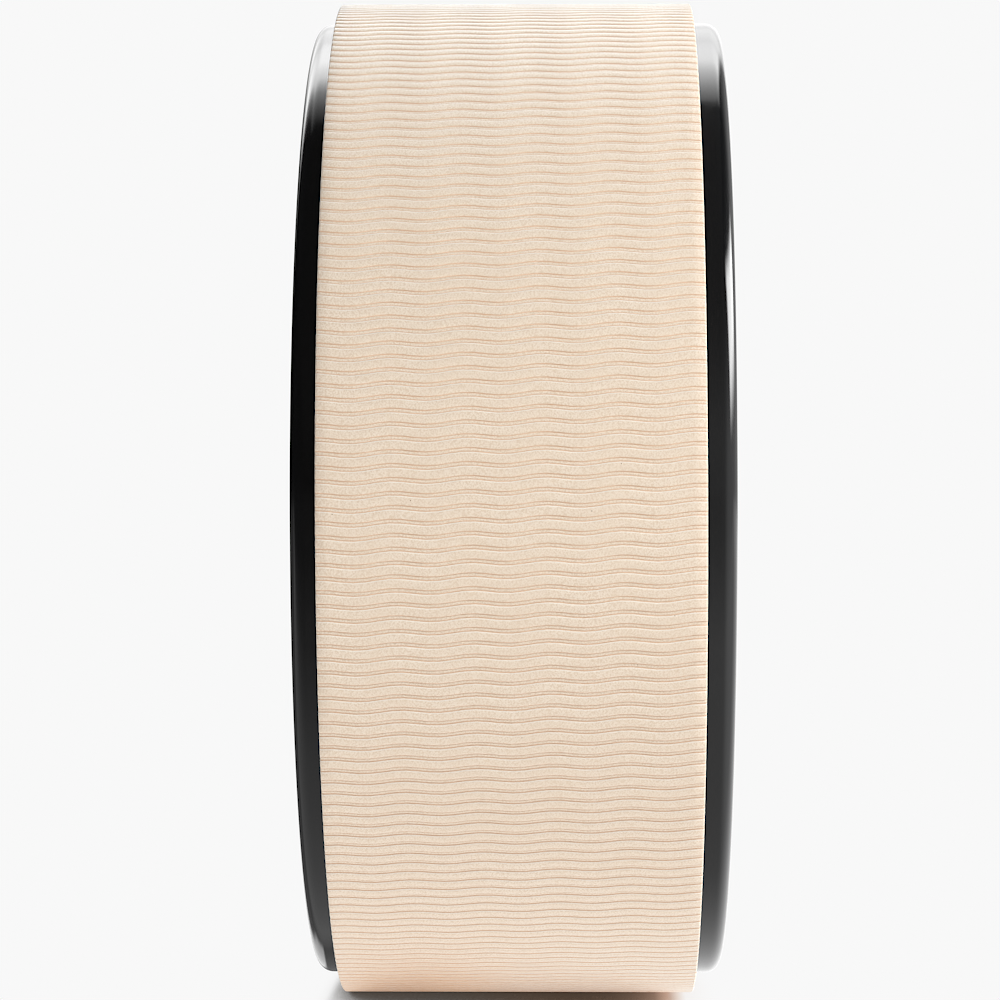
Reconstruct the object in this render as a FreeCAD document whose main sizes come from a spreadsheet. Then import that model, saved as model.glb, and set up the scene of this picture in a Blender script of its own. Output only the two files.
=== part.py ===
import FreeCAD, Part
import math
import os

import Sketcher

# A yoga wheel: a hollow plastic hoop of two half shells that meet on the mid-plane, with a grooved foam pad
# wrapped round it on three bands of double-sided tape. Lengths are millimetres and angles are degrees.
# The origin is the centre of the wheel, Y is the line it rolls about, and Z is up.

SIZES = {
    # the whole wheel
    "wheel_diameter": 325.0,
    "wheel_width": 130.0,
    "hoop_depth": 11.0,
    "rim_exposed": 8.5,
    # foam pad and the tape under it
    "pad_thickness": 6.0,
    "seam_gap": 0.4,
    "foot_depth": 0.5,
    "tape_thickness": 0.5,
    "tape_margin": 4.0,
    "tape_spacing": 7.5,
    # wavy grooves in the pad
    "groove_pitch": 4.02,
    "groove_mouth": 1.24,
    "groove_floor": 0.94,
    "groove_depth": 0.45,
    "wave_length": 22.0,
    "wave_height": 1.0,
    "wave_shift": 3.8,
    "pattern_turn": 1.5,
    # half shells
    "outer_wall": 3.0,
    "inner_wall": 3.0,
    "side_wall": 3.2,
    "rim_radius": 4.5,
    "bore_edge_radius": 3.0,
    "cavity_radius": 1.5,
    # ribs between the walls
    "rib_count": 24,
    "rib_thickness": 2.0,
    "rib_setback": 1.0,
    "rib_root": 0.5,
    # lap joint on the mid-plane
    "tongue_thickness": 1.2,
    "tongue_length": 4.0,
    "tongue_root": 5.0,
    "lap_clearance": 0.2,
    # dowels and their bosses
    "dowel_count": 12,
    "dowel_diameter": 3.0,
    "dowel_length": 16.0,
    "dowel_chamfer": 0.4,
    "dowel_clearance": 0.1,
    "boss_wall": 2.0,
    "boss_end": 4.0,
    # how far a cut runs past what it cuts
    "overrun": 1.0,
}

# Sizes that follow from the ones above and that several pieces share.
FITS = {
    "pad_radius": "sizes.wheel_diameter / 2",
    "pad_width": "sizes.wheel_width - 2 * sizes.rim_exposed",
    "pad_edge": "pad_width / 2",
    "tape_radius": "pad_radius - sizes.pad_thickness",
    "tape_width": "(pad_width - 2 * sizes.tape_margin - 2 * sizes.tape_spacing) / 3",
    "tape_seam_angle": "sizes.seam_gap / tape_radius * 180 / pi",
    "hoop_radius": "tape_radius - sizes.tape_thickness",
    "bore_radius": "hoop_radius - sizes.hoop_depth",
    "rim_face": "sizes.wheel_width / 2",
    "cavity_floor": "rim_face - sizes.side_wall",
    "cavity_outer": "hoop_radius - sizes.outer_wall",
    "cavity_inner": "bore_radius + sizes.inner_wall",
    "cavity_middle": "(cavity_outer + cavity_inner) / 2",
    "tongue_inner": "cavity_outer + sizes.lap_clearance",
    "tongue_outer": "tongue_inner + sizes.tongue_thickness",
    "boss_diameter": "sizes.dowel_diameter + 2 * sizes.boss_wall",
    "boss_length": "sizes.dowel_length / 2 + sizes.boss_end",
    "socket_diameter": "sizes.dowel_diameter + 2 * sizes.dowel_clearance",
    "socket_depth": "sizes.dowel_length / 2 + sizes.dowel_clearance",
}

FULL_TURN = 360.0
STATIONS_PER_WAVE = 4
MATCH = 1e-6
UNIT = 1.0
ALONG_Y = FreeCAD.Vector(0, UNIT, 0)
UPWARD = FreeCAD.Vector(0, 0, UNIT)

# How a sketch numbers its axes and the points of an edge.
ACROSS_AXIS = -1
UP_AXIS = -2
START = 1
END = 2
CENTRE = 3

doc = FreeCAD.newDocument("yoga_wheel")
sheet = doc.addObject("Spreadsheet::Sheet", "sizes")
for row, (alias, number) in enumerate(SIZES.items(), start=1):
    sheet.set(f"A{row}", alias)
    sheet.set(f"B{row}", str(number))
    sheet.setAlias(f"B{row}", alias)
doc.recompute()
fits = doc.addObject("App::VarSet", "fits")
for alias, formula in FITS.items():
    fits.addProperty("App::PropertyFloat", alias)
    fits.setExpression(alias, formula)
doc.recompute()


def size(alias):
    return float(sheet.get(alias))


# Sketches and features that the pieces share.


def origin_feature(body, role):
    return next(item for item in body.Origin.OriginFeatures if item.Role == role)


def new_body(label):
    body = doc.addObject("PartDesign::Body", label)
    body.Label = label
    return body


def new_sketch(body, name, plane, offset="0"):
    """A sketch on one of the body's origin planes, moved along the plane's normal by an expression."""
    sketch = body.newObject("Sketcher::SketchObject", name)
    sketch.AttachmentSupport = [(origin_feature(body, plane), "")]
    sketch.MapMode = "FlatFace"
    sketch.setExpression("AttachmentOffset.Base.z", offset)
    return sketch


def bind(sketch, constraint, name, formula):
    index = sketch.addConstraint(constraint)
    sketch.renameConstraint(index, name)
    sketch.setExpression(f"Constraints.{name}", formula)


def place_point(sketch, edge, point, name, across, up):
    """Hold one point of a sketch at two coordinates, each an expression on the sizes."""
    now = sketch.getPoint(edge, point)
    if across == "0":
        sketch.addConstraint(Sketcher.Constraint("PointOnObject", edge, point, UP_AXIS))
    else:
        bind(sketch, Sketcher.Constraint("DistanceX", edge, point, now.x), f"{name}_across", across)
    if up == "0":
        sketch.addConstraint(Sketcher.Constraint("PointOnObject", edge, point, ACROSS_AXIS))
    else:
        bind(sketch, Sketcher.Constraint("DistanceY", edge, point, now.y), f"{name}_up", up)


def outline(body, name, plane, corners, offset="0"):
    """A closed sketch of straight edges through corners given as pairs of expressions."""
    sketch = new_sketch(body, name, plane, offset)
    count = len(corners)
    turns = [2 * math.pi * index / count for index in range(count)]
    points = [FreeCAD.Vector(math.cos(turn), math.sin(turn), 0) for turn in turns]
    for index in range(count):
        sketch.addGeometry(Part.LineSegment(points[index], points[(index + 1) % count]), False)
    for index in range(count):
        sketch.addConstraint(Sketcher.Constraint("Coincident", index, END, (index + 1) % count, START))
    for index, (across, up) in enumerate(corners):
        place_point(sketch, index, START, f"corner{index}", across, up)
    return sketch


def block(across_low, across_high, up_low, up_high):
    return [(across_low, up_low), (across_high, up_low), (across_high, up_high), (across_low, up_high)]


def disc(body, name, centre, diameter):
    """A circle on the mid-plane, at a distance from the wheel's centre, as a sketch."""
    sketch = new_sketch(body, name, "XZ_Plane")
    sketch.addGeometry(Part.Circle(FreeCAD.Vector(UNIT, 0, 0), UPWARD, UNIT), False)
    place_point(sketch, 0, CENTRE, "centre", centre, "0")
    bind(sketch, Sketcher.Constraint("Diameter", 0, UNIT), "diameter", diameter)
    return sketch


def revolved(body, name, sketch, angle=str(FULL_TURN), kind="Revolution"):
    """A sketch turned about the wheel's own line, evenly to both sides of the sketch."""
    feature = body.newObject(f"PartDesign::{kind}", name)
    feature.Profile = sketch
    feature.ReferenceAxis = (sketch, ["V_Axis"])
    feature.Midplane = True
    feature.setExpression("Angle", angle)
    doc.recompute()
    return feature


def raised(body, name, sketch, length):
    """A sketch on the mid-plane built up towards the shell's side wall."""
    feature = body.newObject("PartDesign::Pad", name)
    feature.Profile = sketch
    feature.Reversed = True
    feature.setExpression("Length", length)
    doc.recompute()
    return feature


def sunk(body, name, sketch, depth):
    """A sketch on the mid-plane cut into the shell."""
    feature = body.newObject("PartDesign::Pocket", name)
    feature.Profile = sketch
    feature.setExpression("Length", depth)
    doc.recompute()
    return feature


def ring_of(body, name, original, count):
    """Copies of a feature spread evenly round the wheel."""
    pattern = body.newObject("PartDesign::PolarPattern", name)
    pattern.Originals = [original]
    pattern.Axis = (origin_feature(body, "Y_Axis"), [""])
    pattern.Angle = FULL_TURN
    pattern.setExpression("Occurrences", count)
    body.Tip = pattern
    doc.recompute()
    return pattern


def rounded(body, name, picks, radius):
    """Rounds the edges that a rule picks on the body as it stands."""
    base = body.Tip
    edges = enumerate(base.Shape.Edges, start=1)
    feature = body.newObject("PartDesign::Fillet", name)
    feature.Base = (base, [f"Edge{index}" for index, edge in edges if picks(edge)])
    feature.setExpression("Radius", radius)
    doc.recompute()
    return feature


def check_cut(name, before, after):
    """Stops the build if a cut has left the shape as it was."""
    if len(after.Faces) <= len(before.Faces):
        raise RuntimeError(f"{name} cuts nothing")


def on_plane(edge, level):
    return abs(edge.BoundBox.YMin - level) < MATCH and abs(edge.BoundBox.YMax - level) < MATCH


def is_ring(edge, radius, level):
    """True for a circle about the wheel's line, of a radius and at a place along the width."""
    round_edge = isinstance(edge.Curve, Part.Circle) and abs(edge.Curve.Radius - radius) < MATCH
    return round_edge and on_plane(edge, level)


# Half shells. Each is drawn from the mid-plane towards +Y.


def is_cavity_corner(edge):
    radii = (fits.cavity_inner, fits.cavity_outer)
    return any(is_ring(edge, radius, fits.cavity_floor) for radius in radii)


def is_bore_corner(edge):
    return is_ring(edge, fits.bore_radius, fits.rim_face)


def is_rim_corner(edge):
    return is_ring(edge, fits.hoop_radius, fits.rim_face)


def add_walls(body):
    """The two walls of the hollow hoop and the side wall that joins them, with rounded corners."""
    corners = [
        ("fits.bore_radius", "0"),
        ("fits.cavity_inner", "0"),
        ("fits.cavity_inner", "fits.cavity_floor"),
        ("fits.cavity_outer", "fits.cavity_floor"),
        ("fits.cavity_outer", "0"),
        ("fits.hoop_radius", "0"),
        ("fits.hoop_radius", "fits.rim_face"),
        ("fits.bore_radius", "fits.rim_face"),
    ]
    revolved(body, "walls", outline(body, "wall_section", "XY_Plane", corners))
    rounded(body, "cavity_corners", is_cavity_corner, "sizes.cavity_radius")
    rounded(body, "bore_edge", is_bore_corner, "sizes.bore_edge_radius")
    rounded(body, "rim", is_rim_corner, "sizes.rim_radius")


def add_ribs(body):
    """Ribs from wall to wall, rooted in both walls and the side wall, just short of the mid-plane."""
    section = block(
        "fits.cavity_inner - sizes.rib_root",
        "fits.cavity_outer + sizes.rib_root",
        "-sizes.rib_thickness / 2",
        "sizes.rib_thickness / 2",
    )
    sketch = outline(body, "rib_section", "XZ_Plane", section, "-sizes.rib_setback")
    rib = raised(body, "rib", sketch, "fits.cavity_floor - sizes.rib_setback + sizes.rib_root")
    ring_of(body, "ribs", rib, "sizes.rib_count")


def add_bosses(body):
    """A boss for each dowel, on every other rib."""
    sketch = disc(body, "boss_section", "fits.cavity_middle", "fits.boss_diameter")
    ring_of(body, "bosses", raised(body, "boss", sketch, "fits.boss_length"), "sizes.dowel_count")


def add_sockets(body):
    """A socket in each boss, for half a dowel."""
    before = body.Tip.Shape
    sketch = disc(body, "socket_section", "fits.cavity_middle", "fits.socket_diameter")
    socket = sunk(body, "socket", sketch, "fits.socket_depth")
    check_cut("socket", before, socket.Shape)
    ring_of(body, "sockets", socket, "sizes.dowel_count")


def make_right_shell():
    """The half with a rebate inside its outer wall, which takes the other half's tongue."""
    body = new_body("right_shell")
    add_walls(body)
    add_ribs(body)
    add_bosses(body)
    before = body.Tip.Shape
    section = block(
        "fits.cavity_outer",
        "fits.tongue_outer + sizes.lap_clearance",
        "-sizes.overrun",
        "sizes.tongue_length + sizes.lap_clearance",
    )
    rebate = revolved(body, "rebate", outline(body, "rebate_section", "XY_Plane", section), kind="Groove")
    check_cut("rebate", before, rebate.Shape)
    add_sockets(body)
    return body


def make_left_shell():
    """The half with the tongue, turned half way round to face the other."""
    body = new_body("left_shell")
    add_walls(body)
    add_ribs(body)
    add_bosses(body)
    section = block("fits.tongue_inner", "fits.tongue_outer", "-sizes.tongue_length", "sizes.tongue_root")
    revolved(body, "tongue", outline(body, "tongue_section", "XY_Plane", section))
    add_sockets(body)
    body.Placement = FreeCAD.Placement(FreeCAD.Vector(), FreeCAD.Rotation(UPWARD, FULL_TURN / 2))
    return body


# Dowels across the mid-plane.


def make_dowel(index):
    """One dowel with chamfered ends, in a pair of bosses."""
    turn = f"({index} * {FULL_TURN} / sizes.dowel_count * 1 deg)"
    rod = doc.addObject("Part::Cylinder", f"dowel_rod_{index}")
    rod.setExpression("Radius", "sizes.dowel_diameter / 2")
    rod.setExpression("Height", "sizes.dowel_length")
    rod.Placement = FreeCAD.Placement(FreeCAD.Vector(), FreeCAD.Rotation(UPWARD, ALONG_Y))
    rod.setExpression("Placement.Base.x", f"fits.cavity_middle * cos({turn})")
    rod.setExpression("Placement.Base.y", "-sizes.dowel_length / 2")
    rod.setExpression("Placement.Base.z", f"fits.cavity_middle * sin({turn})")
    doc.recompute()
    pin = doc.addObject("Part::Chamfer", f"dowel_{index}")
    pin.Base = rod
    chamfer = size("dowel_chamfer")
    edges = enumerate(rod.Shape.Edges, start=1)
    ends = [number for number, edge in edges if isinstance(edge.Curve, Part.Circle)]
    pin.Edges = [(number, chamfer, chamfer) for number in ends]
    return pin


def make_dowels():
    """The dowels as one group of separate solids."""
    group = doc.addObject("Part::Compound", "alignment_dowels")
    group.Label = "alignment_dowels"
    group.Links = [make_dowel(index) for index in range(int(size("dowel_count")))]
    return group


# Tape bands round the hoop.


def make_tape(label, start):
    """A band of tape that starts at a place along the wheel's width, with its ends butted at the back."""
    body = new_body(label)
    section = block("fits.hoop_radius", "fits.tape_radius", "0", "fits.tape_width")
    sketch = outline(body, "band_section", "XY_Plane", section)
    revolved(body, "band", sketch, f"{FULL_TURN} - fits.tape_seam_angle")
    body.setExpression("Placement.Base.y", start)
    return body


def make_tapes():
    return [
        make_tape("tape_left", "sizes.tape_margin - fits.pad_edge"),
        make_tape("tape_middle", "-fits.tape_width / 2"),
        make_tape("tape_right", "fits.pad_edge - sizes.tape_margin - fits.tape_width"),
    ]


# Foam pad.


def groove_rail(arc_start, shift, radius):
    """The line that one corner of a wavy groove follows across the pad, from edge to edge."""
    count = math.ceil(fits.pad_width / size("wave_length") * STATIONS_PER_WAVE)
    slope = math.tan(math.radians(size("pattern_turn")))
    points = []
    for index in range(count + 1):
        across = fits.pad_edge * (2 * index / count - 1)
        waves = (across + slope * arc_start - size("wave_shift")) / size("wave_length")
        wave = size("wave_height") / 2 * math.sin(2 * math.pi * waves)
        turn = (arc_start + slope * across + wave + shift) / fits.pad_radius
        points.append(FreeCAD.Vector(radius * math.cos(turn), across, radius * math.sin(turn)))
    curve = Part.BSplineCurve()
    curve.interpolate(points)
    return curve.toShape()


def groove_rails():
    """Four rails for each groove, in order round the wheel: mouth, floor, floor, mouth."""
    floor_radius = fits.pad_radius - size("groove_depth")
    half_mouth = size("groove_mouth") / 2
    half_floor = size("groove_floor") / 2
    count = int(2 * math.pi * fits.pad_radius / size("groove_pitch"))
    rails = []
    for index in range(count):
        arc_start = (index - (count - 1) / 2) * size("groove_pitch")
        rails.append(groove_rail(arc_start, -half_mouth, fits.pad_radius))
        rails.append(groove_rail(arc_start, -half_floor, floor_radius))
        rails.append(groove_rail(arc_start, half_floor, floor_radius))
        rails.append(groove_rail(arc_start, half_mouth, fits.pad_radius))
    return rails


def make_foam_ring():
    """The wrapped foam as a whole ring: grooved outside, plain inside, with flat cut edges."""
    rails = groove_rails()
    tread = [Part.makeRuledSurface(rail, rails[index - 1]) for index, rail in enumerate(rails)]
    low_centre = FreeCAD.Vector(0, -fits.pad_edge, 0)
    back = Part.makeCylinder(fits.tape_radius, fits.pad_width, low_centre, ALONG_Y).Faces[0]
    cut_edges = []
    for end, across in ((0, -fits.pad_edge), (-1, fits.pad_edge)):
        corners = [rail.Vertexes[end].Point for rail in rails]
        inner_ring = next(edge for edge in back.Edges if on_plane(edge, across))
        rings = [Part.makePolygon([*corners, corners[0]]), Part.Wire([inner_ring])]
        cut_edges.append(Part.makeFace(rings, "Part::FaceMakerBullseye"))
    shell = Part.makeShell([*tread, back, *cut_edges])
    shell.sewShape()
    feature = doc.addObject("Part::Feature", "foam_ring")
    feature.Shape = Part.makeSolid(shell)
    return feature


def without_box(label, base, box_sizes, box_corner):
    """A piece with a box taken out of it, the box given by expressions on the sizes."""
    box = doc.addObject("Part::Box", f"{label}_box")
    for name, formula in zip(("Length", "Width", "Height"), box_sizes):
        box.setExpression(name, formula)
    for name, formula in zip("xyz", box_corner):
        box.setExpression(f"Placement.Base.{name}", formula)
    result = doc.addObject("Part::Cut", label)
    result.Label = label
    result.Base = base
    result.Tool = box
    doc.recompute()
    check_cut(label, base.Shape, result.Shape)
    return result


def make_pad():
    """The foam ring cut open at the back, where its ends butt, and flat where the wheel stands."""
    run = "fits.pad_width + 2 * sizes.overrun"
    run_start = "-fits.pad_edge - sizes.overrun"
    butt_sizes = ("sizes.pad_thickness + 2 * sizes.overrun", run, "sizes.seam_gap")
    butt_corner = ("-fits.pad_radius - sizes.overrun", run_start, "-sizes.seam_gap / 2")
    butted = without_box("butted_foam", make_foam_ring(), butt_sizes, butt_corner)
    foot_sizes = ("sizes.wheel_diameter", run, "sizes.foot_depth + sizes.overrun")
    foot_corner = ("-fits.pad_radius", run_start, "-fits.pad_radius - sizes.overrun")
    return without_box("pad", butted, foot_sizes, foot_corner)


pieces = [make_right_shell(), make_left_shell(), make_dowels(), *make_tapes(), make_pad()]
doc.recompute()

for item in doc.Objects:
    if "Invalid" in item.State or "Error" in item.State:
        raise RuntimeError(f"{item.Label} failed: {item.State}")
for piece in pieces:
    if piece.Shape.isNull() or not piece.Shape.isValid():
        raise RuntimeError(f"{piece.Label} has no valid shape")

os.makedirs("parts", exist_ok=True)
for piece in pieces:
    piece.Shape.exportStep(f"parts/{piece.Label}.step")
    print(f"{piece.Label}: {len(piece.Shape.Solids)} solids, {piece.Shape.Volume:.0f} mm3")
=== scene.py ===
"""Yoga wheel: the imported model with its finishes, a grooved foam pad, a pale floor and soft studio light."""

import math

import bpy
import numpy as np
from mathutils import Matrix, Vector


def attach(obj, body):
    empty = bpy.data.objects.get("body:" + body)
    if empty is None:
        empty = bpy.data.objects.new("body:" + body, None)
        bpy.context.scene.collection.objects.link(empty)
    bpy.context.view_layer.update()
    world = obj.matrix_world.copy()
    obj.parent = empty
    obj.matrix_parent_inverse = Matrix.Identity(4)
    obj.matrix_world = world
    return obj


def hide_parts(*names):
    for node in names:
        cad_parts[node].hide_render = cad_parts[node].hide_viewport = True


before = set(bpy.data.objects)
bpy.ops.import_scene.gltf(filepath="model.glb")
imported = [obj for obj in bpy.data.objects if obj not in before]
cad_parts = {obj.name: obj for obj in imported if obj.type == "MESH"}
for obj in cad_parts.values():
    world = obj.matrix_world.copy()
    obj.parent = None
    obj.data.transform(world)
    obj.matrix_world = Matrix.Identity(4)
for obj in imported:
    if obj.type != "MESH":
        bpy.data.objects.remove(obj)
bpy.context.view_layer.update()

MM = 0.001

# Pad, in millimetres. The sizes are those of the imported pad.
PAD_RADIUS = 162.5
PAD_BACK_RADIUS = 156.5
PAD_HALF_WIDTH = 56.5
SEAM_HALF_GAP = 0.2
PAD_HALF_LENGTH = math.pi * PAD_RADIUS - SEAM_HALF_GAP
FOOT_HEIGHT = 162.0
GROOVE_PITCH = 4.02
GROOVES_EACH_WAY = 126
WAVE_LENGTH = 22.0
WAVE_HEIGHT = 1.0
WAVE_SHIFT = 3.8
PATTERN_SLOPE = math.tan(math.radians(1.5))
# One groove from its lower to its upper lip: distance from the groove's middle line, depth, and painted shade.
# Two brown crevices, deepened by painted shade, have rounded lips outside them and a rounded ridge between
# them. A shade below 0 is a painted highlight.
GROOVE_PROFILE = np.array([
    (-1.2, 0.0, 0.0), (-0.74, 0.17, -0.3), (-0.66, 0.23, 0.6), (-0.46, 0.45, 0.9), (-0.30, 0.34, 0.15),
    (0.30, 0.34, 0.15), (0.46, 0.46, 1.0), (0.66, 0.23, 0.8), (0.74, 0.17, 0.1), (1.2, 0.0, 0.0),
])
# Painted shade: the groove's upper half is painted darker where the wave runs down to the right, away from the
# light on the right, and lighter where it runs up, about a mean.
UPPER_PAINTED_SHADE_MEAN = 0.85
UPPER_PAINTED_SHADE_SWING = 0.15
# The rounded edge of the pad: distance in from the cut edge, and drop.
EDGE_PROFILE = np.array([(0.5, 0.0), (0.15, 0.15), (0.0, 0.5)])
COLUMNS = 33
# The sheet is glued on slightly askew: its middle line wanders along the hoop.
PAD_OFFSET = -0.5
PAD_WANDER = -0.4
PAD_SHARP_ANGLE = math.radians(55)


def pad_points():
    """Points of the pad as rows round the wheel by a loop round the section, and each point's painted shade,
    with painted highlight below 0.
    """
    numbers = np.arange(-GROOVES_EACH_WAY, GROOVES_EACH_WAY + 1)
    middle = np.repeat(numbers * GROOVE_PITCH, len(GROOVE_PROFILE))
    step = np.tile(GROOVE_PROFILE[:, 0], len(numbers))
    depth = np.tile(GROOVE_PROFILE[:, 1], len(numbers))
    shade = np.tile(GROOVE_PROFILE[:, 2], len(numbers))
    wavy = np.ones(len(middle))
    # One straight row more at each cut end.
    middle = np.concatenate([[-PAD_HALF_LENGTH], middle, [PAD_HALF_LENGTH]])[:, None]
    step, depth, shade, wavy = (np.pad(row, 1)[:, None] for row in (step, depth, shade, wavy))

    edge = PAD_HALF_WIDTH - EDGE_PROFILE[:, 0]
    flat = np.linspace(-edge[0], edge[0], COLUMNS)
    loop = [[-PAD_HALF_WIDTH], -edge[:0:-1], flat, edge[1:], [PAD_HALF_WIDTH]]
    across = np.concatenate(loop)[None, :]
    drop = np.zeros(across.shape)
    drop[0, 1:3] = EDGE_PROFILE[:0:-1, 1]
    drop[0, -3:-1] = EDGE_PROFILE[1:, 1]

    waves = (across + PATTERN_SLOPE * middle - WAVE_SHIFT) / WAVE_LENGTH
    wave = WAVE_HEIGHT / 2 * np.sin(2 * np.pi * waves)
    turn = (middle + wavy * (PATTERN_SLOPE * across + wave) + step) / PAD_RADIUS
    # The foot is flat; away from it the limit of 0.5 keeps the division clear of zero.
    from_foot = np.maximum(np.cos(turn + np.pi / 2), 0.5)
    radius = np.minimum(PAD_RADIUS, FOOT_HEIGHT / from_foot) - depth - drop
    radius[:, 0] = PAD_BACK_RADIUS
    radius[:, -1] = PAD_BACK_RADIUS
    askew = PAD_OFFSET + PAD_WANDER * np.sin(turn)
    points = np.stack([radius * np.cos(turn), across + askew, radius * np.sin(turn)], axis=-1)

    # Painted shade along each wave on the groove's upper half.
    painted_shade_along_wave = UPPER_PAINTED_SHADE_MEAN - UPPER_PAINTED_SHADE_SWING * np.cos(2 * np.pi * waves)
    shade = shade * np.where((step > 0) & (shade > 0), painted_shade_along_wave, 1.0)
    shade[:, 0] = 0
    shade[:, -1] = 0
    return points * MM, shade


def add_object(name, mesh):
    """A new object in the scene."""
    made = bpy.data.objects.new(name, mesh)
    bpy.context.scene.collection.objects.link(made)
    return made


def make_pad():
    """The foam pad as one closed mesh, cut ends and all."""
    points, shade = pad_points()
    rows, loop, _ = points.shape
    index = np.arange(rows * loop).reshape(rows, loop)
    after = np.roll(index, -1, axis=1)
    quads = np.stack([index[:-1], after[:-1], after[1:], index[1:]], axis=-1).reshape(-1, 4)
    faces = quads.tolist()
    faces.append(index[0, ::-1].tolist())
    faces.append(index[-1].tolist())
    mesh = bpy.data.meshes.new("foam_pad")
    mesh.from_pydata(points.reshape(-1, 3).tolist(), [], faces)
    mesh.shade_smooth()
    mesh.set_sharp_from_angle(angle=PAD_SHARP_ANGLE)
    # The groove attribute carries the painted shade of the crevices and the painted highlight of the lower
    # lips.
    groove = mesh.attributes.new("groove", "FLOAT", "POINT")
    groove.data.foreach_set("value", shade.ravel())
    mesh.validate()
    return add_object("foam_pad", mesh)


# Half shells, in millimetres: distance from the mid-plane and radius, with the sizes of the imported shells.
HOOP_RADIUS = 156.0
BORE_RADIUS = 145.0
HALF_WIDTH = 65.0
RIM_ROUND = 4.5
BORE_ROUND = 3.0
WALL = 3.0
SIDE_WALL = 3.2
CAVITY_ROUND = 1.5
PARTING_BEVEL = 0.2
TONGUE = (153.2, 154.4)
TONGUE_LENGTH = 4.0
REBATE_DEPTH = 4.2
REBATE_RADIUS = 154.6
# Meshing: the distance of the points that hold the flats beside a round, steps in each round, and turns.
SUPPORT = 0.25
RIM_STEPS = 12
BORE_STEPS = 9
CAVITY_STEPS = 4
TURNS = 320
SHELL_SHARP_ANGLE = math.radians(40)


def corner(centre, radius, start, end, steps):
    """Points of a round from one angle to another, with a point just off it at each end."""
    angles = np.radians(np.linspace(start, end, steps + 1))
    points = centre + radius * np.stack([np.cos(angles), np.sin(angles)], axis=-1)
    along = math.copysign(SUPPORT, end - start) * np.stack([-np.sin(angles), np.cos(angles)], axis=-1)
    return [points[0] - along[0], *points, points[-1] + along[-1]]


def shell_section(joint):
    """The outline of a half shell, clockwise, with the points of its lap joint."""
    cavity_end = HALF_WIDTH - SIDE_WALL - CAVITY_ROUND
    cavity_low = BORE_RADIUS + WALL + CAVITY_ROUND
    cavity_high = HOOP_RADIUS - WALL - CAVITY_ROUND
    outline = [
        (0.0, HOOP_RADIUS),
        *corner((HALF_WIDTH - RIM_ROUND, HOOP_RADIUS - RIM_ROUND), RIM_ROUND, 90, 0, RIM_STEPS),
        *corner((HALF_WIDTH - BORE_ROUND, BORE_RADIUS + BORE_ROUND), BORE_ROUND, 0, -90, BORE_STEPS),
        (PARTING_BEVEL + SUPPORT, BORE_RADIUS),
        (PARTING_BEVEL, BORE_RADIUS),
        (0.0, BORE_RADIUS + PARTING_BEVEL),
        (0.0, BORE_RADIUS + WALL),
        *corner((cavity_end, cavity_low), CAVITY_ROUND, -90, 0, CAVITY_STEPS),
        *corner((cavity_end, cavity_high), CAVITY_ROUND, 0, 90, CAVITY_STEPS),
        *joint,
    ]
    return np.array([tuple(point) for point in outline])


def make_shell(name, joint, side):
    """A half shell turned about the wheel's own line; side is 1 on the right and -1 on the left."""
    section = shell_section(joint)
    angles = 2 * np.pi * np.arange(TURNS)[:, None] / TURNS
    radius = section[None, :, 1]
    across = np.broadcast_to(side * section[None, :, 0], (TURNS, len(section)))
    points = np.stack([radius * np.cos(angles), across, radius * np.sin(angles)], axis=-1) * MM
    index = np.arange(TURNS * len(section)).reshape(TURNS, len(section))
    after = np.roll(index, -1, axis=1)
    ahead = np.roll(index, -1, axis=0)
    diagonal = np.roll(after, -1, axis=0)
    order = [index, after, diagonal, ahead] if side > 0 else [index, ahead, diagonal, after]
    quads = np.stack(order, axis=-1).reshape(-1, 4)
    mesh = bpy.data.meshes.new(name)
    mesh.from_pydata(points.reshape(-1, 3).tolist(), [], quads.tolist())
    mesh.shade_smooth()
    mesh.set_sharp_from_angle(angle=SHELL_SHARP_ANGLE)
    return add_object(name, mesh)


# Nodes

def feed(tree, node, inputs):
    """Sets a node's inputs to values, or links them to sockets."""
    for key, value in inputs.items():
        if isinstance(value, bpy.types.NodeSocket):
            tree.links.new(value, node.inputs[key])
        else:
            node.inputs[key].default_value = value


def add(tree, kind, inputs=None, **settings):
    """A new node with its properties and inputs."""
    made = tree.nodes.new(kind)
    for name, value in settings.items():
        setattr(made, name, value)
    feed(tree, made, inputs or {})
    return made


def math_node(tree, operation, *values):
    """The output of a math node."""
    return add(tree, "ShaderNodeMath", dict(enumerate(values)), operation=operation).outputs[0]


def product(tree, first, *others):
    """Numbers multiplied together."""
    for other in others:
        first = math_node(tree, "MULTIPLY", first, other)
    return first


def total(tree, first, *others):
    """Numbers added together."""
    for other in others:
        first = math_node(tree, "ADD", first, other)
    return first


def noise(tree, coords, scale, detail, roughness):
    """The output of a noise texture of so many features per metre."""
    inputs = {"Vector": coords, "Scale": scale, "Detail": detail, "Roughness": roughness}
    return add(tree, "ShaderNodeTexNoise", inputs).outputs["Fac"]


def spread(tree, value, low, high, to_low=0.0, to_high=1.0, kind="SMOOTHSTEP"):
    """A value carried from one range to another, smoothly unless told otherwise, and held at its ends."""
    inputs = {"Value": value, "From Min": low, "From Max": high, "To Min": to_low, "To Max": to_high}
    return add(tree, "ShaderNodeMapRange", inputs, interpolation_type=kind).outputs["Result"]


def mixed(tree, factor, one, two):
    """A colour between two colours."""
    return add(tree, "ShaderNodeMix", {0: factor, 6: one, 7: two}, data_type="RGBA").outputs[2]


def between(tree, factor, one, two):
    """A number between two numbers."""
    return add(tree, "ShaderNodeMix", {0: factor, 2: one, 3: two}, data_type="FLOAT").outputs[0]


def ramp_colour(tree, place, stops):
    """A colour from a row of (place, colour) stops."""
    made = add(tree, "ShaderNodeValToRGB", {"Fac": place})
    band = made.color_ramp
    while len(band.elements) < len(stops):
        band.elements.new(0.5)
    for element, (where, colour) in zip(band.elements, stops):
        element.position = where
        element.color = colour
    return made.outputs["Color"]


RAMP_TOP = 8.0


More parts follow.
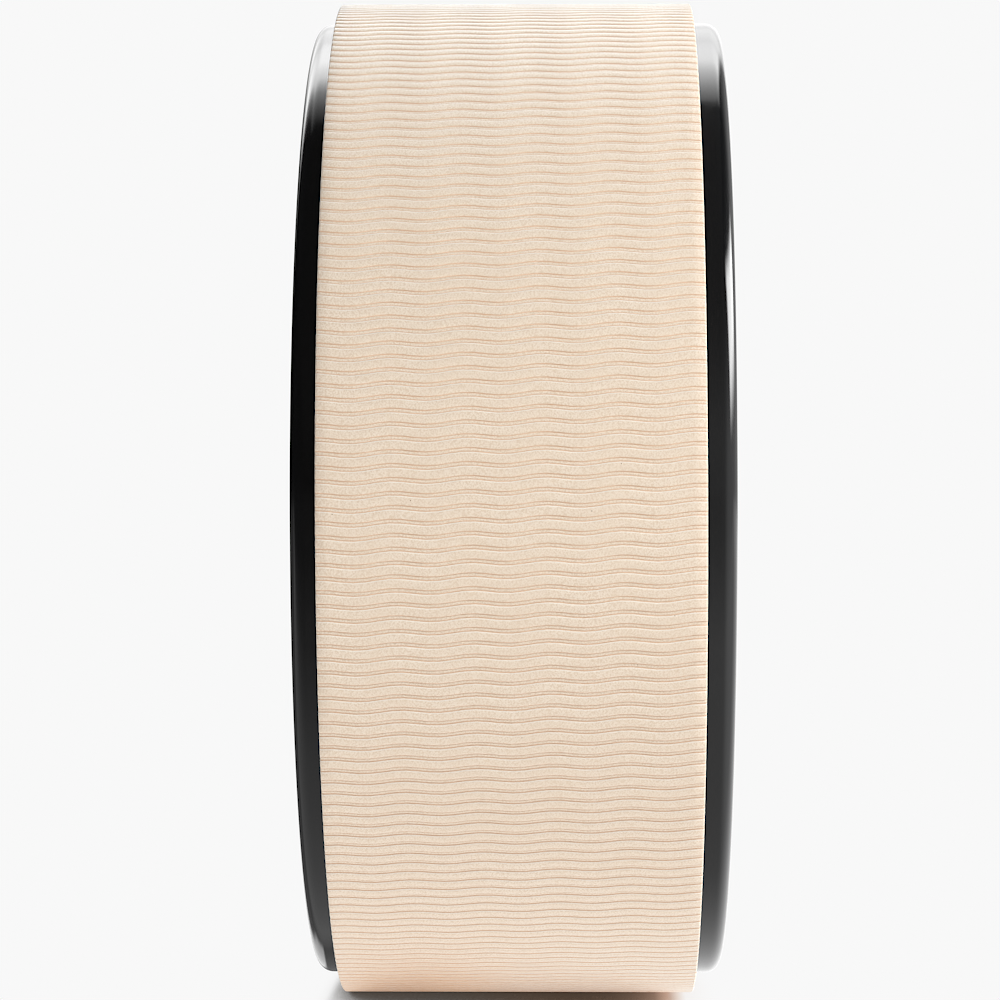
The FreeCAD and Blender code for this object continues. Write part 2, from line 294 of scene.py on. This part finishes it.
def ramp(tree, place, stops):
    """A number, up to RAMP_TOP, from a row of (place, number) stops."""
    low = stops[0][0]
    high = stops[-1][0]
    greys = []
    for where, value in stops:
        grey = value / RAMP_TOP
        greys.append(((where - low) / (high - low), (grey, grey, grey, 1)))
    even = spread(tree, place, low, high, kind="LINEAR")
    return product(tree, ramp_colour(tree, even, greys), RAMP_TOP)


# Finishes. Scales are in features per metre.

FOAM_GRAIN_DARK = (0.733, 0.580, 0.432, 1)
FOAM_GRAIN_LIGHT = (0.842, 0.714, 0.582, 1)
FOAM_CLOUD = (0.785, 0.635, 0.490, 1)
FOAM_LIP_PAINTED_HIGHLIGHT = (0.93, 0.89, 0.83, 1)
FOAM_CREVICE_BROWN_AND_SHADE = (0.70, 0.44, 0.28, 1)
FOAM_SPECK = (0.42, 0.30, 0.21, 1)
FOAM_GRAIN_SCALE = 1900.0
FOAM_CLOUD_SCALE = 55.0
FOAM_SPECK_SCALE = 240.0
BLACK = (0.006, 0.006, 0.0063, 1)
DUST = (0.20, 0.19, 0.17, 1)
POLISH_SCALE = 140.0
DUST_SCALE = 210.0
DUST_ROUGHNESS = 0.5
DOWEL_DARK = (0.66, 0.62, 0.52, 1)
DOWEL_LIGHT = (0.76, 0.72, 0.62, 1)
DOWEL_SCALE = 900.0
TAPE_DARK = (0.82, 0.80, 0.73, 1)
TAPE_LIGHT = (0.90, 0.88, 0.82, 1)
TAPE_SCALE = 1500.0
GRAIN_HEIGHT = 0.0001


def new_material(name):
    """An empty material: its tree, its principled shader and the object coordinates."""
    material = bpy.data.materials.new(name)
    material.use_nodes = True
    tree = material.node_tree
    shader = next(n for n in tree.nodes if n.type == "BSDF_PRINCIPLED")
    coords = add(tree, "ShaderNodeTexCoord").outputs["Object"]
    return material, tree, shader, coords


def specks(tree, coords, scale, core, edge, rarity):
    """Small round spots, so many places per metre of which only the rare ones are taken."""
    cells = add(tree, "ShaderNodeTexVoronoi", {"Vector": coords, "Scale": scale})
    near = spread(tree, cells.outputs["Distance"], core, edge, 1.0, 0.0)
    chance = add(tree, "ShaderNodeSeparateColor", {"Color": cells.outputs["Color"]}).outputs[0]
    return product(tree, near, spread(tree, chance, rarity, rarity + 0.02))


def bumps(tree, height, strength):
    """The normal of a surface with a fine grain."""
    inputs = {"Height": height, "Strength": strength, "Distance": GRAIN_HEIGHT}
    return add(tree, "ShaderNodeBump", inputs).outputs["Normal"]


def foam_material():
    """Beige foam: sandy grain, faint clouds, a painted highlight on each groove's lower lip, and browner
    crevices deepened by painted shade.
    """
    material, tree, shader, coords = new_material("beige_foam")
    grain = noise(tree, coords, FOAM_GRAIN_SCALE, 3.0, 0.6)
    clouds = noise(tree, coords, FOAM_CLOUD_SCALE, 3.0, 0.55)
    speck = specks(tree, coords, FOAM_SPECK_SCALE, 0.03, 0.06, 0.95)
    groove = add(tree, "ShaderNodeAttribute", attribute_name="groove").outputs["Fac"]
    colour = mixed(tree, spread(tree, grain, 0.34, 0.62), FOAM_GRAIN_DARK, FOAM_GRAIN_LIGHT)
    colour = mixed(tree, spread(tree, clouds, 0.35, 0.65, 0.0, 0.3), colour, FOAM_CLOUD)
    # Painted highlight: the lower lips are painted paler, as if lit from above.
    colour = mixed(tree, spread(tree, groove, -0.3, 0.0, 0.6, 0.0), colour, FOAM_LIP_PAINTED_HIGHLIGHT)
    # The crevices are browner foam, darkened further with painted shade.
    colour = mixed(tree, spread(tree, groove, 0.1, 0.9, 0.0, 0.75), colour, FOAM_CREVICE_BROWN_AND_SHADE)
    colour = mixed(tree, speck, colour, FOAM_SPECK)
    feed(tree, shader, {
        "Base Color": colour,
        "Roughness": spread(tree, grain, 0.3, 0.7, 0.62, 0.78),
        "Normal": bumps(tree, grain, 0.25),
        "Specular IOR Level": 0.4,
        "Sheen Weight": 1.0,
        "Sheen Roughness": 0.4,
    })
    return material


def black_material():
    """Glossy black plastic: a faint swirl in the polish and a few specks of dust."""
    material, tree, shader, coords = new_material("black_abs")
    polish = noise(tree, coords, POLISH_SCALE, 3.0, 0.6)
    speck = specks(tree, coords, DUST_SCALE, 0.035, 0.065, 0.90)
    gloss = spread(tree, polish, 0.3, 0.7, 0.07, 0.12)
    feed(tree, shader, {
        "Base Color": mixed(tree, speck, BLACK, DUST),
        "Roughness": total(tree, gloss, product(tree, speck, DUST_ROUGHNESS)),
        "IOR": 1.5,
    })
    return material


def plain_material(name, dark, light, scale, low, high):
    """A matt moulded or rolled piece: two close tones in a fine grain, and a range of roughness."""
    material, tree, shader, coords = new_material(name)
    grain = noise(tree, coords, scale, 3.0, 0.6)
    feed(tree, shader, {
        "Base Color": mixed(tree, grain, dark, light),
        "Roughness": spread(tree, grain, 0.3, 0.7, low, high),
        "Normal": bumps(tree, grain, 0.15),
    })
    return material


def paint(node, material):
    """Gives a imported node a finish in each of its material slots."""
    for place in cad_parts[node].material_slots:
        place.material = material


# The wheel

pad = make_pad()
pad.data.materials.append(foam_material())
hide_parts("pad")
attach(pad, "root")

black = black_material()
rebate = [(REBATE_DEPTH, HOOP_RADIUS - WALL), (REBATE_DEPTH, REBATE_RADIUS), (0.0, REBATE_RADIUS)]
tongue = [
    (0.0, HOOP_RADIUS - WALL), (0.0, TONGUE[0]), (-TONGUE_LENGTH, TONGUE[0]),
    (-TONGUE_LENGTH, TONGUE[1]), (0.0, TONGUE[1]),
]
shells = (
    ("hoop_right", "right_shell", rebate, 1),
    ("hoop_left", "left_shell", tongue, -1),
)
for name, node, joint, side in shells:
    shell = make_shell(name, joint, side)
    shell.data.materials.append(black)
    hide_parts(node)
    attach(shell, "root")
paint("alignment_dowels", plain_material("natural_abs", DOWEL_DARK, DOWEL_LIGHT, DOWEL_SCALE, 0.45, 0.6))
tape = plain_material("tape", TAPE_DARK, TAPE_LIGHT, TAPE_SCALE, 0.55, 0.75)
for name in ("tape_left", "tape_middle", "tape_right"):
    paint(name, tape)

# Floor, in metres. Ranges here and below are (low, high) or (low, high, value at low, value at high).

FLOOR_RADIUS = 6.0
FLOOR_SIDES = 96
FLOOR_GAP = 0.0001
FLOOR_LIGHT = 1.19
BACKGROUND = 0.939
# The contact shadow: how far it reaches, and the range of open sky over which it fades.
SHADOW_REACH = 0.12
SHADOW_SAMPLES = 8
SHADOW_FADE = (0.02, 0.60)
# How far the contact shadow lifts across the wheel, to the right: the light comes in from the right.
SHADOW_ACROSS = [
    (-0.066, 0.95), (-0.0625, 0.80), (-0.060, 0.10), (-0.056, 0.02), (0.020, 0.0), (0.030, 0.02),
    (0.037, 0.07), (0.044, 0.18), (0.049, 0.45), (0.054, 0.93), (0.066, 1.0),
]
# Colours of the contact shadow from its core outwards, as seen on either side and as it lights the foam.
SHADOW_LEFT = [(0.0, (0.055, 0.041, 0.030, 1)), (1.0, (1, 1, 1, 1))]
SHADOW_RIGHT = [
    (0.0, (0.066, 0.045, 0.031, 1)), (0.12, (0.17, 0.108, 0.074, 1)), (0.4, (0.54, 0.35, 0.26, 1)),
    (0.7, (0.83, 0.71, 0.63, 1)), (1.0, (1, 1, 1, 1)),
]
SHADOW_LIT = [(0.0, (0.36, 0.20, 0.11, 1)), (0.4, (0.92, 0.66, 0.47, 1)), (1.0, (1, 1, 1, 1))]
# Across the wheel: where the left colours turn to the right ones, where the lift begins to light the foam,
# and how much open sky ends the shadow as it lights the foam.
SHADOW_TURNS = (-0.03, 0.02)
SHADOW_LIFTS = (-0.02, 0.02)
SHADOW_LIT_END = (-0.05, 0.0, 0.52, 0.17)


def raised(tree, value, lift):
    """A value of 0..1 brought nearer to 1."""
    rest = math_node(tree, "SUBTRACT", 1.0, value)
    return total(tree, value, product(tree, rest, lift))


def floor_material():
    """Even white with a soft contact shadow, which is lighter as seen from the foam above it."""
    material, tree, shader, coords = new_material("floor_white")
    tree.nodes.remove(shader)
    across = add(tree, "ShaderNodeSeparateXYZ", {"Vector": coords}).outputs["Y"]
    shadow = add(tree, "ShaderNodeAmbientOcclusion", {"Distance": SHADOW_REACH}, samples=SHADOW_SAMPLES)
    open_sky = shadow.outputs["AO"]
    lift = ramp(tree, across, SHADOW_ACROSS)
    share = raised(tree, spread(tree, open_sky, *SHADOW_FADE), lift)
    on_left = ramp_colour(tree, share, SHADOW_LEFT)
    on_right = ramp_colour(tree, share, SHADOW_RIGHT)
    seen = mixed(tree, spread(tree, across, *SHADOW_TURNS), on_left, on_right)
    lit_lift = product(tree, lift, spread(tree, across, *SHADOW_LIFTS))
    lit_share = spread(tree, open_sky, 0.0, spread(tree, across, *SHADOW_LIT_END))
    lit = ramp_colour(tree, raised(tree, lit_share, lit_lift), SHADOW_LIT)
    to_camera = add(tree, "ShaderNodeLightPath").outputs["Is Camera Ray"]
    tone = mixed(tree, to_camera, lit, seen)
    strength = between(tree, to_camera, FLOOR_LIGHT, BACKGROUND)
    glow = add(tree, "ShaderNodeEmission", {"Color": tone, "Strength": strength})
    out = next(n for n in tree.nodes if n.type == "OUTPUT_MATERIAL")
    tree.links.new(glow.outputs[0], out.inputs["Surface"])
    return material


def make_floor():
    """A wide pale disc under the wheel's foot."""
    mesh = bpy.data.meshes.new("floor")
    height = -FOOT_HEIGHT * MM - FLOOR_GAP
    ring = [2 * math.pi * k / FLOOR_SIDES for k in range(FLOOR_SIDES)]
    points = [(FLOOR_RADIUS * math.cos(a), FLOOR_RADIUS * math.sin(a), height) for a in ring]
    mesh.from_pydata(points, [], [list(range(FLOOR_SIDES))])
    floor = add_object("floor", mesh)
    mesh.materials.append(floor_material())
    floor.visible_glossy = False
    return floor


floor = make_floor()

# Light: an even white studio for the matt surfaces, and what the gloss mirrors of it

SKY_RISE = (0.1, 1.0, 0.18, 0.38)
SKY_TO_RIGHT = 0.10
# The mirrored room is drawn by a direction's share to the front, to the right and up. Left and right differ.
SIDES_MEET = (-0.06, 0.04)
HORIZON = (-0.04, 0.04)
LEAST_UP = 0.03
# Brightness of the softbox overhead and a little behind, by how far forward it is for its height.
LEFT_BOX = [
    (-2.4, 1.0), (-1.25, 3.1), (-0.75, 6.2), (-0.55, 5.9),
    (-0.40, 2.2), (-0.28, 1.0), (-0.14, 0.05), (0.0, 0.03),
]
RIGHT_BOX = [
    (-2.4, 1.3), (-1.25, 2.8), (-0.75, 5.1), (-0.51, 3.2),
    (-0.36, 1.6), (-0.31, 1.1), (-0.30, 0.12), (0.0, 0.08),
]
# Where the softbox's front edge begins to slant on either side, and how much on the right.
LEFT_SLANT_FROM = -0.35
RIGHT_SLANT_FROM = 0.1
RIGHT_SLANT = 0.35
# The softbox's left part is dimmer outwards, brighter far behind, and dim where it is low and far left.
LEFT_DIM = (-0.5, -0.1, 0.80, 1.0)
BEHIND_FORWARD = (-2.8, -1.4, 0.65, 0.0)
BEHIND_ACROSS = (-0.46, -0.36)
LOW_LEFT_SLOPE = 0.45
LOW_LEFT_DIM = (0.0, 0.24, 0.1, 1.0)
# The softbox's right part ends to the right and is dimmer low down.
RIGHT_END = (0.31, 0.42, 1.0, 0.03)
LOW_RIGHT_DIM = (0.10, 0.24, 0.65, 1.0)
# A pale wall on the right, and a faint glow in front of it.
WALL_ACROSS = (0.2, 0.8, 0.0, 0.65)
WALL_UP = (0.1, 0.9, 1.0, 0.03)
GLOW_ACROSS = (-0.03, 0.04, 0.0, 0.35)
GLOW_UP = (0.1, 0.8, 1.0, 0.0)
# A lamp that stands on the right: its lower edge and brightness, its slanting top, its sides.
LAMP_UP = (0.14, 0.36, 0.0, 16.0)
LAMP_ACROSS = (0.4, 0.6)
LAMP_SLOPE = 0.35
LAMP_TOP = (0.52, 0.64, 1.0, 0.0)
LAMP_BACK = (-0.50, -0.30)
LAMP_FRONT = (0.30, 0.50, 1.0, 0.0)
# Brightness of the floor, by degrees down from the camera's side, and of a pale patch on it to the left.
LEFT_FLOOR = [
    (-180, 0.2), (-139, 0.22), (-127, 0.60), (-110, 0.68), (-90, 0.70),
    (-68, 0.63), (-35, 0.2), (-15, 0.05), (0, 0.04),
]
RIGHT_FLOOR = [(-180, 1.4), (-125, 0.9), (-100, 0.65), (-70, 0.75), (-35, 0.8), (-10, 0.4), (0, 0.35)]
PATCH_LEFT = (-0.40, -0.32)
PATCH_RIGHT = (-0.15, -0.10, 1.0, 0.0)
PATCH_FRONT = (-0.78, -0.70, 1.0, 0.0)


def mirrored_box(tree, front, right, up):
    """The softbox overhead as the gloss mirrors it: its left and its right part."""
    height = math_node(tree, "MAXIMUM", up, LEAST_UP)
    forward = math_node(tree, "DIVIDE", front, height)
    across = math_node(tree, "DIVIDE", right, height)

    slant = math_node(tree, "MAXIMUM", math_node(tree, "SUBTRACT", LEFT_SLANT_FROM, across), 0.0)
    behind = product(tree, spread(tree, forward, *BEHIND_FORWARD), spread(tree, right, *BEHIND_ACROSS))
    low_left = total(tree, up, product(tree, right, LOW_LEFT_SLOPE))
    left_box = product(
        tree,
        ramp(tree, total(tree, forward, slant), LEFT_BOX),
        total(tree, spread(tree, across, *LEFT_DIM), behind),
        spread(tree, low_left, *LOW_LEFT_DIM),
    )

    slant = math_node(tree, "MAXIMUM", math_node(tree, "SUBTRACT", across, RIGHT_SLANT_FROM), 0.0)
    right_box = product(
        tree,
        ramp(tree, total(tree, forward, product(tree, slant, RIGHT_SLANT)), RIGHT_BOX),
        spread(tree, right, *RIGHT_END),
        spread(tree, up, *LOW_RIGHT_DIM),
    )
    return left_box, right_box


def mirrored_room(tree, front, right, up):
    """What the gloss mirrors: a softbox overhead, a lamp and a pale wall on the right, and the floor."""
    side = spread(tree, right, *SIDES_MEET, kind="LINEAR")
    box = between(tree, side, *mirrored_box(tree, front, right, up))
    wall = product(tree, spread(tree, right, *WALL_ACROSS), spread(tree, up, *WALL_UP))
    glow = product(tree, spread(tree, right, *GLOW_ACROSS), spread(tree, up, *GLOW_UP))
    lamp_top = math_node(tree, "SUBTRACT", up, product(tree, front, LAMP_SLOPE))
    lamp = product(
        tree,
        spread(tree, up, *LAMP_UP),
        spread(tree, right, *LAMP_ACROSS),
        spread(tree, lamp_top, *LAMP_TOP),
        spread(tree, front, *LAMP_BACK),
        spread(tree, front, *LAMP_FRONT),
    )
    above = total(tree, box, lamp, wall, glow)

    angle = math_node(tree, "DEGREES", math_node(tree, "ARCTAN2", up, front))
    floor_seen = between(tree, side, ramp(tree, angle, LEFT_FLOOR), ramp(tree, angle, RIGHT_FLOOR))
    patch = product(
        tree,
        spread(tree, right, *PATCH_LEFT),
        spread(tree, right, *PATCH_RIGHT),
        spread(tree, front, *PATCH_FRONT),
    )
    below = total(tree, floor_seen, patch, wall)
    return between(tree, spread(tree, up, *HORIZON), below, above)


def make_world():
    """White behind the wheel, soft light from all round, and the room that the gloss mirrors."""
    world = bpy.data.worlds.new("studio")
    bpy.context.scene.world = world
    world.use_nodes = True
    tree = world.node_tree
    tree.nodes.clear()
    way = add(tree, "ShaderNodeTexCoord").outputs["Generated"]
    front, right, up = add(tree, "ShaderNodeSeparateXYZ", {"Vector": way}).outputs
    soft = total(tree, spread(tree, up, *SKY_RISE), product(tree, right, SKY_TO_RIGHT))
    path = add(tree, "ShaderNodeLightPath")
    lit = between(tree, path.outputs["Is Glossy Ray"], soft, mirrored_room(tree, front, right, up))
    seen = between(tree, path.outputs["Is Camera Ray"], lit, BACKGROUND)
    shade = add(tree, "ShaderNodeBackground", {"Color": (1, 1, 1, 1), "Strength": seen})
    out = add(tree, "ShaderNodeOutputWorld")
    tree.links.new(shade.outputs[0], out.inputs["Surface"])


make_world()

# Two soft lights: place and size in metres, power in watts, colour.
KEY_PLACE = (0.52, 0.97, 0.45)
KEY_SIZE = (0.39, 0.52)
KEY_POWER = 14.2
KEY_COLOUR = (0.97, 1.0, 1.02)
OVERHEAD_PLACE = (-0.30, 0.10, 0.74)
OVERHEAD_SIZE = (0.9, 0.58)
OVERHEAD_POWER = 2.9
OVERHEAD_COLOUR = (0.87, 1.03, 1.20)


def make_softbox(name, place, size, power, colour):
    """A soft light, turned to the wheel's middle, that lights the wheel only."""
    data = bpy.data.lights.new(name, "AREA")
    data.shape = "RECTANGLE"
    data.size, data.size_y = size
    data.energy = power
    data.color = colour
    box = add_object(name, data)
    box.location = place
    box.rotation_euler = (-box.location).to_track_quat("-Z", "Y").to_euler()
    box.visible_glossy = False
    box.visible_camera = False
    spared = bpy.data.collections.new(name + "_spares")
    spared.objects.link(floor)
    spared.collection_objects[0].light_linking.link_state = "EXCLUDE"
    box.light_linking.receiver_collection = spared


make_softbox("key", KEY_PLACE, KEY_SIZE, KEY_POWER, KEY_COLOUR)
make_softbox("overhead", OVERHEAD_PLACE, OVERHEAD_SIZE, OVERHEAD_POWER, OVERHEAD_COLOUR)

# Camera, at the photograph's viewing angle

CAMERA_DISTANCE = 1.1965
CAMERA_ACROSS = 0.01426
CAMERA_PAN = math.radians(-0.996)
CAMERA_TILT = math.radians(0.032)
CAMERA_RISE = math.radians(-0.642)
CAMERA_LENS = 129.7
CAMERA_NEAR = 0.05
SENSOR = 36.0


def make_camera():
    """The camera in front of the tread, a little to the right of its middle."""
    data = bpy.data.cameras.new("camera")
    data.sensor_width = SENSOR
    data.lens = CAMERA_LENS
    data.clip_start = CAMERA_NEAR
    camera = add_object("camera", data)
    rise = Matrix.Rotation(-CAMERA_RISE, 3, "Y")
    ahead = rise @ Vector((
        -math.cos(CAMERA_TILT) * math.cos(CAMERA_PAN),
        math.cos(CAMERA_TILT) * math.sin(CAMERA_PAN),
        -math.sin(CAMERA_TILT),
    ))
    camera.location = rise @ Vector((CAMERA_DISTANCE, CAMERA_ACROSS, 0))
    camera.rotation_euler = ahead.to_track_quat("-Z", "Y").to_euler()
    bpy.context.scene.camera = camera


make_camera()

# The picture: plain colours, and a little sharpening as a studio picture has

SHARPENING = 0.12

scene = bpy.context.scene
scene.view_settings.view_transform = "Standard"
scene.view_settings.look = "None"


def sharpen():
    """Sharpens the picture a little."""
    scene.use_nodes = True
    tree = scene.node_tree
    tree.nodes.clear()
    picture = add(tree, "CompositorNodeRLayers").outputs["Image"]
    inputs = {"Fac": SHARPENING, "Image": picture}
    crisp = add(tree, "CompositorNodeFilter", inputs, filter_type="SHARPEN_DIAMOND")
    add(tree, "CompositorNodeComposite", {"Image": crisp.outputs["Image"]})


sharpen()
